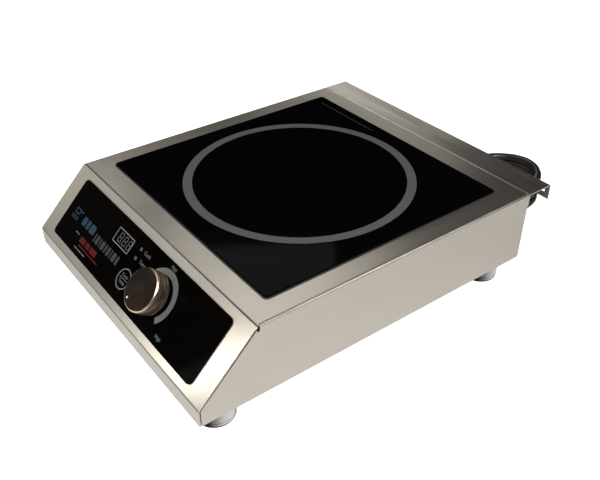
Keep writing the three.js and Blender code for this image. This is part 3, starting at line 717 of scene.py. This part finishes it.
def control_holes(low, high, extra=0.0):
    """Tools for the button, bushing, lamp and display openings, in the control front's frame."""
    tools = [raised(disc(BUTTON_HOLE + extra, 48, *BUTTON_AT), low, high),
             raised(disc(BUSHING_HOLE, 32, *KNOB_SPOT), low, high),
             raised(rounded_sheet(DISPLAY_SIZE[0], DISPLAY_SIZE[1], 0.4 * MM, 4, *DISPLAY_AT), low, high)]
    tools += [raised(disc(LAMP_HOLE, 24, *spot), low, high) for spot in LAMPS]
    return tools


def on_slope(node):
    """The middle of a CAD node, in the control front's frame."""
    low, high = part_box(node)
    return (SLOPE.inverted() @ ((low + high) / 2)).xy


BUTTON_AT = on_slope("mode_switch")
KNOB_SPOT = (SLOPE.inverted() @ KNOB_AT).xy
DISPLAY_AT = on_slope("display_window")
DISPLAY_SIZE = (33 * MM, 16.5 * MM)
LAMPS = [on_slope("cook_lamp"), on_slope("temp_lamp")]
FASCIA_AT = on_slope("fascia_panel")
FASCIA_SIZE = (302 * MM, 71 * MM)
FASCIA_CORNER = 5.5 * MM
BUTTON_HOLE, BUSHING_HOLE, LAMP_HOLE = 12.1 * MM, 4.8 * MM, 1.8 * MM  # radii


def glass_opening(low, high):
    wide = GLASS_SIDE + 3.2 * MM
    return raised(rounded_sheet(wide, wide, 5.6 * MM, 8, 0, GLASS_Y), low, high)


def folded_front():
    """The skirt, the control slope, the top and the rear flange: one folded sheet."""
    path = [(FRONT_Y, CASE_FOOT), (FRONT_Y, SKIRT_TOP), (BEND_Y, TOP_Z), (REAR_Y, TOP_Z),
            (REAR_Y, TOP_Z - REAR_FLANGE)]
    bm = folded(path, -SIDE, SIDE)
    drop_sides(bm)
    bend_sheet(bm, BEND)
    draw_noses(bm)
    face_out(bm)
    return bm


def drop_sides(bm):
    """Bends the side panels down from the top's long edges."""
    edges = [edge for edge in bm.edges if on_top_side(edge)]
    made = bmesh.ops.extrude_edge_only(bm, edges=edges)
    low = [item for item in made["geom"] if isinstance(item, bmesh.types.BMVert)]
    bmesh.ops.translate(bm, vec=(0, 0, CASE_FOOT - TOP_Z), verts=low)


def on_top_side(edge):
    a, b = (vert.co for vert in edge.verts)
    level = min(a.z, b.z) > TOP_Z - MM
    return level and abs(a.x - b.x) < MM and abs(abs(a.x) - SIDE) < MM


def draw_noses(bm):
    """Draws the side panels forward beside the control slope, a seam's width behind the folded sheet."""
    behind = SHEET + SEAM
    level = UP.z / (1 + UP.y)
    for edge in [edge for edge in bm.edges if is_side_front(edge)]:
        low, top = sorted(edge.verts, key=lambda vert: vert.co.z)
        meet = TOP_Z - behind / UP.y - SEAM_FLARE
        split = bmesh.utils.edge_split(edge, low, (meet - low.co.z) / (top.co.z - low.co.z))[1]
        ends = (SKIRT_TOP - behind * level, CASE_FOOT)
        nose = [bm.verts.new((low.co.x, FRONT_Y + behind, z)) for z in ends]
        bm.faces.new([low, split, *nose])


def is_side_front(edge):
    a, b = (vert.co for vert in edge.verts)
    upright = abs(a.x - b.x) < MM and abs(a.y - b.y) < MM and abs(a.z - b.z) > 50 * MM
    return upright and abs(abs(a.x) - SIDE) < MM and abs(a.y - BEND_Y) < 6 * MM


def corner_relief(sign):
    """The small round hole where the slope, the top and the side meet."""
    bm = raised(disc(1.5 * MM, 24), -6 * MM, 6 * MM)
    return moved(bm, Matrix.Translation((sign * (SIDE - 0.3 * MM), BEND_Y + 1.2 * MM, TOP_Z - MM)))


def add_cover():
    cover = piece_of(folded_front(), "case_cover", STEEL)
    walled(cover, SHEET)
    holes = [moved(tool, SLOPE) for tool in control_holes(-6 * MM, 6 * MM, 0.1 * MM)]
    carve(cover, glass_opening(TOP_Z - 5 * MM, TOP_Z + 5 * MM), corner_relief(-1), corner_relief(1), *holes)
    ease(cover, EASED)
    paint_fold_shade(cover)
    lay_grain(cover)
    return fit(cover, "case", "top_cover", slot="stainless")


def paint_fold_shade(piece):
    """Gives the faces of the folds across the front a darker, rougher steel: the darkness is painted shade
    along the folds.
    """
    piece.data.materials.append(FOLD_SHADE_STEEL)
    flats = [Vector((0, -1, 0)), OUT, Vector((0, 0, 1)), Vector((0, 1, 0))]
    for face in piece.data.polygons:
        level = abs(face.normal.x) < 0.05 and face.center.y < BEND_Y + BEND
        if level and face.normal.z > 0.02 and all(face.normal.dot(flat) < 0.997 for flat in flats):
            face.material_index = 1


def add_bracket():
    """The slotted spacer channel behind the top."""
    front, rear = BRACKET_LOW.y, BRACKET_HIGH.y
    top = BRACKET_HIGH.z
    bm = folded([(front, BRACKET_LOW.z + 3.3 * MM), (front, top), (rear, top), (rear, top - LIP)],
                -SIDE, SIDE)
    bend_sheet(bm, 1.9 * MM)
    face_out(bm)
    bracket = piece_of(bm, "spacer_bracket", STEEL)
    walled(bracket, SHEET)
    count = LIP_SLOT["count"]
    length, width = LIP_SLOT["length"], LIP_SLOT["width"]
    pitch = (2 * SIDE - 2 * LIP_SLOT["edge"] - length) / (count - 1)
    slots = []
    for index in range(count):
        x = -SIDE + LIP_SLOT["edge"] + length / 2 + index * pitch
        slot = raised(rounded_sheet(length, width, width * 0.495, 10), -4 * MM, 4 * MM)
        stand = Matrix.Translation((x, rear, top - LIP_SLOT["drop"])) @ Matrix.Rotation(math.pi / 2, 4, "X")
        slots.append(moved(slot, stand))
    carve(bracket, *slots)
    ease(bracket, EASED)
    lay_grain(bracket)
    return fit(bracket, "case", "rear_bracket", slot="stainless")


# ---- Glass ---------------------------------------------------------------------------------------
RING_OUTER, RING_INNER = 128.6 * MM, 118.4 * MM
GLASS_CORNER, SEAL_CORNER = 3.6 * MM, 5 * MM


def flat_ring(inner, outer, steps=160, start=0.0, sweep=2 * math.pi):
    """A flat band round the origin, from an angle through a sweep."""
    bm = bmesh.new()
    whole = abs(sweep) > 6.28
    a = bm.verts.new((inner * math.cos(start), inner * math.sin(start), 0))
    b = bm.verts.new((outer * math.cos(start), outer * math.sin(start), 0))
    edge = bm.edges.new((a, b))
    bmesh.ops.spin(bm, geom=[a, b, edge], axis=(0, 0, 1), cent=(0, 0, 0), angle=sweep, steps=steps,
                   use_merge=whole)
    return bm


def add_glass():
    plate = rounded_sheet(GLASS_SIDE, GLASS_SIDE, GLASS_CORNER, 10, 0, GLASS_Y)
    glass = piece_of(raised(plate, GLASS_LOW.z, GLASS_HIGH.z), "glass_top", GLASS)
    ease(glass, 0.5 * MM, 3)
    fit(glass, "case", "glass_plate", slot="cooking_glass")
    ring = raised(flat_ring(RING_INNER, RING_OUTER), GLASS_HIGH.z, GLASS_HIGH.z + PRINT)
    ring = piece_of(moved(ring, Matrix.Translation((0, GLASS_Y, 0))), "zone_ring", RING_INK)
    fit(ring, "case")
    line = rounded_sheet(101 * MM, 0.7 * MM, 0.2 * MM, 2, -84.2 * MM, GLASS_HIGH.y - 13 * MM)
    line = piece_of(raised(line, GLASS_HIGH.z, GLASS_HIGH.z + PRINT), "glass_edge_line", LINE_INK)
    fit(line, "case")
    seal_low, seal_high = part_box("glass_seal")
    wide = seal_high.x - seal_low.x
    seal = raised(rounded_sheet(wide, wide, SEAL_CORNER, 8, 0, GLASS_Y), seal_low.z, seal_high.z)
    seal = piece_of(seal, "glass_bead", SEAL)
    inner = GLASS_SIDE + 0.1 * MM
    carve(seal, raised(rounded_sheet(inner, inner, GLASS_CORNER, 8, 0, GLASS_Y), -1, 1))
    ease(seal, 0.4 * MM, 3)
    fit(seal, "case", "glass_seal", slot="seal")


# ---- Control front -------------------------------------------------------------------------------
def add_fascia():
    low = 0.3 * MM
    bm = raised(rounded_sheet(*FASCIA_SIZE, FASCIA_CORNER, 8, *FASCIA_AT), low, FASCIA_FACE)
    fascia = piece_of(moved(bm, SLOPE), "fascia", FASCIA)
    carve(fascia, *[moved(tool, SLOPE) for tool in control_holes(-2 * MM, 4 * MM)])
    ease(fascia, 0.25 * MM, 3)
    fit(fascia, "case", "fascia_panel", slot="fascia")


def printed(name, finish, *shapes):
    """Flat shapes as one printed mark on the fascia."""
    marks = [raised(shape, FASCIA_FACE, FASCIA_FACE + PRINT) for shape in shapes]
    return fit(piece_of(moved(merged(*marks), SLOPE), name, finish), "case", slot="white_print")


def lettering(text, height, x, y, turn=0.0):
    """A word as flat shapes, centred on a point of the control front."""
    curve = bpy.data.curves.new(text, "FONT")
    curve.body = text
    curve.size = height
    curve.align_x = "CENTER"
    curve.align_y = "CENTER"
    words = bpy.data.objects.new(text, curve)
    bpy.context.scene.collection.objects.link(words)
    bpy.context.view_layer.update()
    mesh = bpy.data.meshes.new_from_object(words.evaluated_get(bpy.context.evaluated_depsgraph_get()))
    bpy.data.objects.remove(words)
    bm = bmesh.new()
    bm.from_mesh(mesh)
    bpy.data.meshes.remove(mesh)
    bmesh.ops.remove_doubles(bm, verts=bm.verts, dist=1e-7)
    return moved(bm, Matrix.Translation((x, y, 0)) @ Matrix.Rotation(turn, 4, "Z"))


def bar(x, y, length, width, turn=0.0):
    """A printed bar with slightly round corners."""
    bm = rounded_sheet(length, width, min(length, width) * 0.2, 2)
    return moved(bm, Matrix.Translation((x, y, 0)) @ Matrix.Rotation(turn, 4, "Z"))


def frame_line(width, height, stroke, x, y):
    """The outline of a box, as four bars."""
    across, up = (width - stroke) / 2, (height - stroke) / 2
    return [bar(x, y + up, width, stroke), bar(x, y - up, width, stroke),
            bar(x - across, y, stroke, height), bar(x + across, y, stroke, height)]


def digit(x, y, height, lean=0.1):
    """The seven segments of one display digit, all of them showing."""
    half = height * 0.26
    stroke = height * 0.08
    quarter = height / 4
    shapes = [bar(lean * level, level, half * 2 - stroke * 1.3, stroke)
              for level in (-2 * quarter, 0, 2 * quarter)]
    shapes += [bar(side * half + lean * level, level, stroke, 2 * quarter - stroke * 1.3)
               for side in (-1, 1) for level in (-quarter, quarter)]
    return [moved(shape, Matrix.Translation((x, y, 0))) for shape in shapes]


def pictogram(x, y, size):
    """A pan over a coil: the plain sign for induction cooking."""
    stroke = size * 0.1
    pan = [bar(x, y + size * 0.42, size * 0.8, stroke), bar(x, y + size * 0.06, size * 0.62, stroke),
           bar(x - size * 0.33, y + size * 0.24, stroke, size * 0.42),
           bar(x + size * 0.33, y + size * 0.24, stroke, size * 0.42),
           bar(x + size * 0.62, y + size * 0.38, size * 0.42, stroke)]
    places = [Matrix.Translation((x + size * step, y - size * 0.3, 0)) for step in (-0.36, -0.12, 0.12, 0.36)]
    loops = [moved(flat_ring(size * 0.09, size * 0.16, 24), place) for place in places]
    return pan + loops


def bar_row(x, y, lengths, height, gap):
    """Plain bars in a row, from the left end."""
    shapes = []
    for length in lengths:
        shapes.append(bar(x + length * MM / 2, y, length * MM, height))
        x += length * MM + gap
    return shapes


# Each label: its word, its height and its place across and up the control front, in millimetres.
LABELS = [
    ("Med", 5.2, 51.2, -14.7), ("High", 5.4, 85.1, -73), ("Cook", 5.6, 8.2, -24),
    ("Temp", 5.6, 9.6, -34.2),
]
ARC_INNER, ARC_OUTER = 21.6 * MM, 28.2 * MM
ARC_START, ARC_SWEEP = 150, -196.6  # degrees
ARC_AT = (51.4 * MM, -45.7 * MM, 0)


def add_prints():
    """Everything that is printed on the fascia; plain bars stand for the words."""
    arc = flat_ring(ARC_INNER, ARC_OUTER, 96, math.radians(ARC_START), math.radians(ARC_SWEEP))
    printed("dial_arc", ARC_INK, moved(arc, Matrix.Translation(ARC_AT)))
    labels = [lettering(word, height * MM, x * MM, y * MM) for word, height, x, y in LABELS]
    printed("dial_labels", PALE_INK, *labels)
    marks = frame_line(*[side + 0.2 * MM for side in DISPLAY_SIZE], 0.9 * MM, *DISPLAY_AT)
    printed("display_frame", FRAME_INK, *marks)
    printed("pan_and_coil_mark", BLUE_INK, *pictogram(-131 * MM, -47 * MM, 14 * MM),
            *bar_row(-114 * MM, -47 * MM, (8, 6, 11), 10 * MM, 2.2 * MM))
    lengths = (2.2, 5, 2.2, 6, 3, 5, 2.2, 6, 4)
    printed("grey_bars", GREY_INK, *bar_row(-80 * MM, -51 * MM, lengths, 9.5 * MM, 2.4 * MM))
    printed("red_bars", RED_INK, *bar_row(-100 * MM, -64 * MM, (12, 9, 14), 6.5 * MM, 2 * MM),
            *bar_row(-97 * MM, -70.2 * MM, (46,), 1.4 * MM, 0))
    printed("small_dashes", PALE_INK, *bar_row(-114 * MM, -61.5 * MM, (4, 3), 1.3 * MM, 1.2 * MM),
            *bar_row(-102 * MM, -74.6 * MM, (7, 9, 6), 1.2 * MM, 1.6 * MM))


DIGIT_PITCH = 9.4 * MM


def add_display():
    low, high = 0.2 * MM, FASCIA_FACE - 0.25 * MM
    size = [side - 0.6 * MM for side in DISPLAY_SIZE]
    lens = raised(rounded_sheet(*size, 0.3 * MM, 3, *DISPLAY_AT), low, high)
    fit(piece_of(moved(lens, SLOPE), "display_lens", WINDOW), "case", "display_window", slot="window")
    shapes = []
    for index in range(3):
        across = DISPLAY_AT[0] + (index - 0.7) * DIGIT_PITCH
        shapes += digit(across, DISPLAY_AT[1], 10 * MM)
        shapes.append(disc(0.45 * MM, 12, across + 4.1 * MM, DISPLAY_AT[1] - 5.2 * MM))
    segments = merged(*[raised(shape, high, high + PRINT) for shape in shapes])
    fit(piece_of(moved(segments, SLOPE), "display_segments", SEGMENT), "case", slot="display")


def lamp_lens(name, node, spot):
    bm = turned([(0, -7 * MM), (1.5 * MM, -7 * MM), (1.5 * MM, FASCIA_FACE - 0.1 * MM),
                 (1.2 * MM, FASCIA_FACE + 0.15 * MM), (0.6 * MM, FASCIA_FACE + 0.3 * MM),
                 (0, FASCIA_FACE + 0.35 * MM)], 32)
    fit(piece_of(moved(bm, SLOPE @ Matrix.Translation((*spot, 0))), name, LAMP), "case", node, slot="lamp")
    printed(name + "_mark", PALE_INK, *frame_line(3.3 * MM, 3.3 * MM, 0.55 * MM, *spot))


def add_button():
    """The push button's domed cap, with its printed ring and bars."""
    top = FASCIA_FACE + 0.5 * MM
    bm = turned([(0, -4.3 * MM), (3 * MM, -4.3 * MM), (3 * MM, -2.7 * MM), (13.2 * MM, -2.7 * MM),
                 (13.2 * MM, -1.5 * MM), (11.8 * MM, -1.5 * MM), (11.8 * MM, top - 0.35 * MM),
                 (11.7 * MM, top - 0.12 * MM), (11.45 * MM, top), (0, top)], 96)
    spot = SLOPE @ Matrix.Translation((*BUTTON_AT, 0))
    cap = piece_of(moved(bm, spot), "push_button", BUTTON)
    fit(cap, "mode_button", "mode_button", slot="button")
    ring = flat_ring(9.9 * MM, 11.2 * MM, 96)
    rows = [bar(0, 0, 15 * MM, 0.6 * MM), lettering("Cook", 5 * MM, 0, 3.4 * MM),
            lettering("Temp", 5 * MM, 0, -3.6 * MM)]
    marks = merged(*[raised(shape, top, top + PRINT) for shape in [ring] + rows])
    fit(piece_of(moved(marks, spot), "button_mark", PALE_INK), "mode_button", slot="white_print")


def knob_profile():
    """The turned knob, from the underside of its skirt up to the middle of its face."""
    radius, base, top = 22.3 * MM, 3.5 * MM, 22.8 * MM
    inner = radius - 3 * MM
    ceiling = base + 8.5 * MM
    bore = 3.1 * MM
    points = [(0, 16.9 * MM), (bore, 16.9 * MM), (bore, base + 3 * MM), (7 * MM, base + 3 * MM),
              (7 * MM, ceiling), (inner, ceiling), (inner, base), (radius - 2.1 * MM, base),
              (radius - 2.1 * MM, KNOB_NECK), (radius - 0.4 * MM, KNOB_NECK + 0.15 * MM),
              (radius, KNOB_NECK + 0.6 * MM)]
    points += [(radius, KNOB_NECK + step * 2.6 * MM) for step in range(1, 6)]
    chamfer = 1.15 * MM
    points += [(radius, top - chamfer - 0.3 * MM), (radius - 0.12 * MM, top - chamfer),
               (radius - chamfer, top - 0.12 * MM), (radius - chamfer - 0.3 * MM, top)]
    points += [(radius - 1.9 * MM, top), (radius - 2.1 * MM, top - 0.1 * MM), (15 * MM, top - 0.16 * MM),
               (10 * MM, top - 0.26 * MM), (5 * MM, top - 0.38 * MM), (1.2 * MM, top - 0.47 * MM),
               (0.5 * MM, top - 0.75 * MM), (0, top - 0.85 * MM)]
    return points


def add_knob():
    spot = SLOPE @ Matrix.Translation((*KNOB_SPOT, 0))
    knob = piece_of(moved(turned(knob_profile(), 160), spot), "control_knob", BRONZE)
    lay_turned_grain(knob, spot)
    fit(knob, "knob_and_shaft", "knob", slot="bronze_knob", smooth=24)
    dot_low, dot_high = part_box("knob_dot")
    dot = (SLOPE.inverted() @ ((dot_low + dot_high) / 2)).xy
    bm = turned([(0, 21.9 * MM), (1.15 * MM, 21.9 * MM), (1.15 * MM, 22.75 * MM), (0.9 * MM, 22.9 * MM),
                 (0, 22.98 * MM)], 32)
    dot_piece = piece_of(moved(bm, SLOPE @ Matrix.Translation((*dot, 0))), "knob_mark", WHITE_DOT)
    fit(dot_piece, "knob_and_shaft", "knob_dot", slot="white_print")


# ---- Feet and cord ends --------------------------------------------------------------------------
def add_feet():
    for number in range(1, 5):
        low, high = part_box(f"foot_{number}")
        spot = Matrix.Translation(((low.x + high.x) / 2, (low.y + high.y) / 2, 0))
        radius = (high.x - low.x) / 2
        top = high.z
        cup = turned([(0, 1.9 * MM), (radius - 0.6 * MM, 1.9 * MM), (radius - 0.1 * MM, 2.1 * MM),
                      (radius, 2.6 * MM), (radius, 5.2 * MM), (radius - 0.15 * MM, 5.4 * MM),
                      (radius - 0.15 * MM, 5.7 * MM), (radius, 5.9 * MM), (radius, top - MM),
                      (radius - 0.3 * MM, top - 0.3 * MM), (radius - MM, top), (0, top)], 96)
        cup = piece_of(moved(cup, spot), f"foot_cup_{number}", FOOT_STEEL_PAINTED_REFLECTION)
        lay_turned_grain(cup, spot)
        fit(cup, "case", f"foot_{number}", slot="foot_metal")
        pad = turned([(0, 0), (radius - 1.3 * MM, 0), (radius - 0.5 * MM, 0.3 * MM),
                      (radius - 0.12 * MM, 0.9 * MM), (radius - 0.12 * MM, 1.75 * MM), (0, 1.75 * MM)], 96)
        pad = piece_of(moved(pad, spot), f"foot_ring_{number}", RUBBER)
        fit(pad, "case", f"foot_pad_{number}", slot="rubber")


CORD_EXIT_X, CORD_EXIT_Z = -125 * MM, 30 * MM


def add_relief():
    """The ribbed strain relief that the mains lead leaves through."""
    profile = [(0, -6.4 * MM), (9 * MM, -6.4 * MM), (9 * MM, -1.5 * MM), (6.5 * MM, -1.5 * MM),
               (6.5 * MM, 0.3 * MM), (8.7 * MM, 0.3 * MM), (9 * MM, 0.7 * MM), (9 * MM, 2.6 * MM),
               (8.6 * MM, 3.1 * MM), (7.6 * MM, 3.5 * MM)]
    ribs = 6
    for rib in range(ribs):
        share = rib / ribs
        reach = (7.6 - 1.9 * share) * MM
        at = (5 + 25.5 * share) * MM
        profile += [(reach - 0.9 * MM, at), (reach - 0.9 * MM, at + 1.2 * MM), (reach, at + 1.7 * MM),
                    (reach, at + 3.2 * MM), (reach - 0.4 * MM, at + 3.6 * MM)]
    profile += [(5.3 * MM, 31.6 * MM), (5.0 * MM, 32 * MM), (0, 32 * MM)]
    exit_at = Matrix.Translation((CORD_EXIT_X, REAR_Y, CORD_EXIT_Z))
    spot = exit_at @ Matrix.Rotation(-math.pi / 2, 4, "X")
    relief = piece_of(moved(turned(profile, 48), spot), "strain_relief_boot", RUBBER)
    return fit(relief, "case", "strain_relief", slot="rubber")


def add_plug():
    """The moulded three-pin plug, with grip ribs and a tapered tail."""
    low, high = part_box("plug_body")
    y, z = (low.y + high.y) / 2, (low.z + high.z) / 2
    face, tail = low.x, high.x
    radius = (high.y - low.y) / 2
    profile = [(0, 0), (radius - 1.2 * MM, 0), (radius - 0.3 * MM, 0.3 * MM), (radius, 1.2 * MM),
               (radius, 8 * MM)]
    for rib in range(5):
        at = (9 + rib * 3.4) * MM
        profile += [(radius - 0.8 * MM, at), (radius - 0.8 * MM, at + 1.1 * MM), (radius, at + 1.7 * MM),
                    (radius, at + 2.6 * MM)]
    profile += [(radius - 1.4 * MM, 28 * MM), (radius - 4.5 * MM, 32 * MM), (radius - 6 * MM, 36 * MM),
                (5.9 * MM, tail - face - 0.4 * MM), (5.5 * MM, tail - face), (0, tail - face)]
    spot = Matrix.Translation((face, y, z)) @ Matrix.Rotation(math.pi / 2, 4, "Y")
    plug = piece_of(moved(turned(profile, 64), spot), "mains_plug", PLUG_PLASTIC)
    return fit(plug, "case", "plug_body", slot="cord_jacket")


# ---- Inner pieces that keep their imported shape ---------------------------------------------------
INSIDES = {
    "base_pan": INNER_STEEL, "glass_frame": INNER_STEEL, "encoder_body": INNER_STEEL,
    "rear_panel": PANEL_STEEL, "display_module": BLACK_PLASTIC, "mode_switch": BLACK_PLASTIC,
    "control_board": BOARD, "power_board": BOARD, "control_standoff": BRASS, "encoder_nut": BRASS,
    "encoder_shaft": BRASS, "mica_sheet": MICA, "inner_winding": COPPER, "outer_winding": COPPER,
    "coil_carrier": BLACK_PLASTIC, "ferrite_bar": FERRITE, "thermistor": CERAMIC,
    "coil_tray": ALUMINIUM, "heatsink": ALUMINIUM, "board_rail": BLACK_PLASTIC,
    "power_transistor": BLACK_PLASTIC, "bridge_rectifier": BLACK_PLASTIC,
    "filter_capacitor": CAPACITOR, "resonance_capacitor": CAPACITOR, "choke": CHOKE_COPPER,
    "fan_frame": BLACK_PLASTIC, "fan_impeller": BLACK_PLASTIC, "plug_blade": BRASS, "plug_pin": BRASS,
}


def finish_insides():
    for name, node in frame["nodes"].items():
        look = INSIDES.get(name) or INSIDES.get(name.rstrip("0123456789").rstrip("_"))
        if look:
            node.data.materials.clear()
            node.data.materials.append(look)


set_camera()
set_stage()
finish_insides()
mains_cord = add_cord()
add_cover()
add_bracket()
add_glass()
add_fascia()
add_prints()
add_display()
lamp_lens("cook_lamp_lens", "cook_lamp", LAMPS[0])
lamp_lens("temp_lamp_lens", "temp_lamp", LAMPS[1])
add_button()
add_knob()
add_feet()
add_relief()
mains_plug = add_plug()
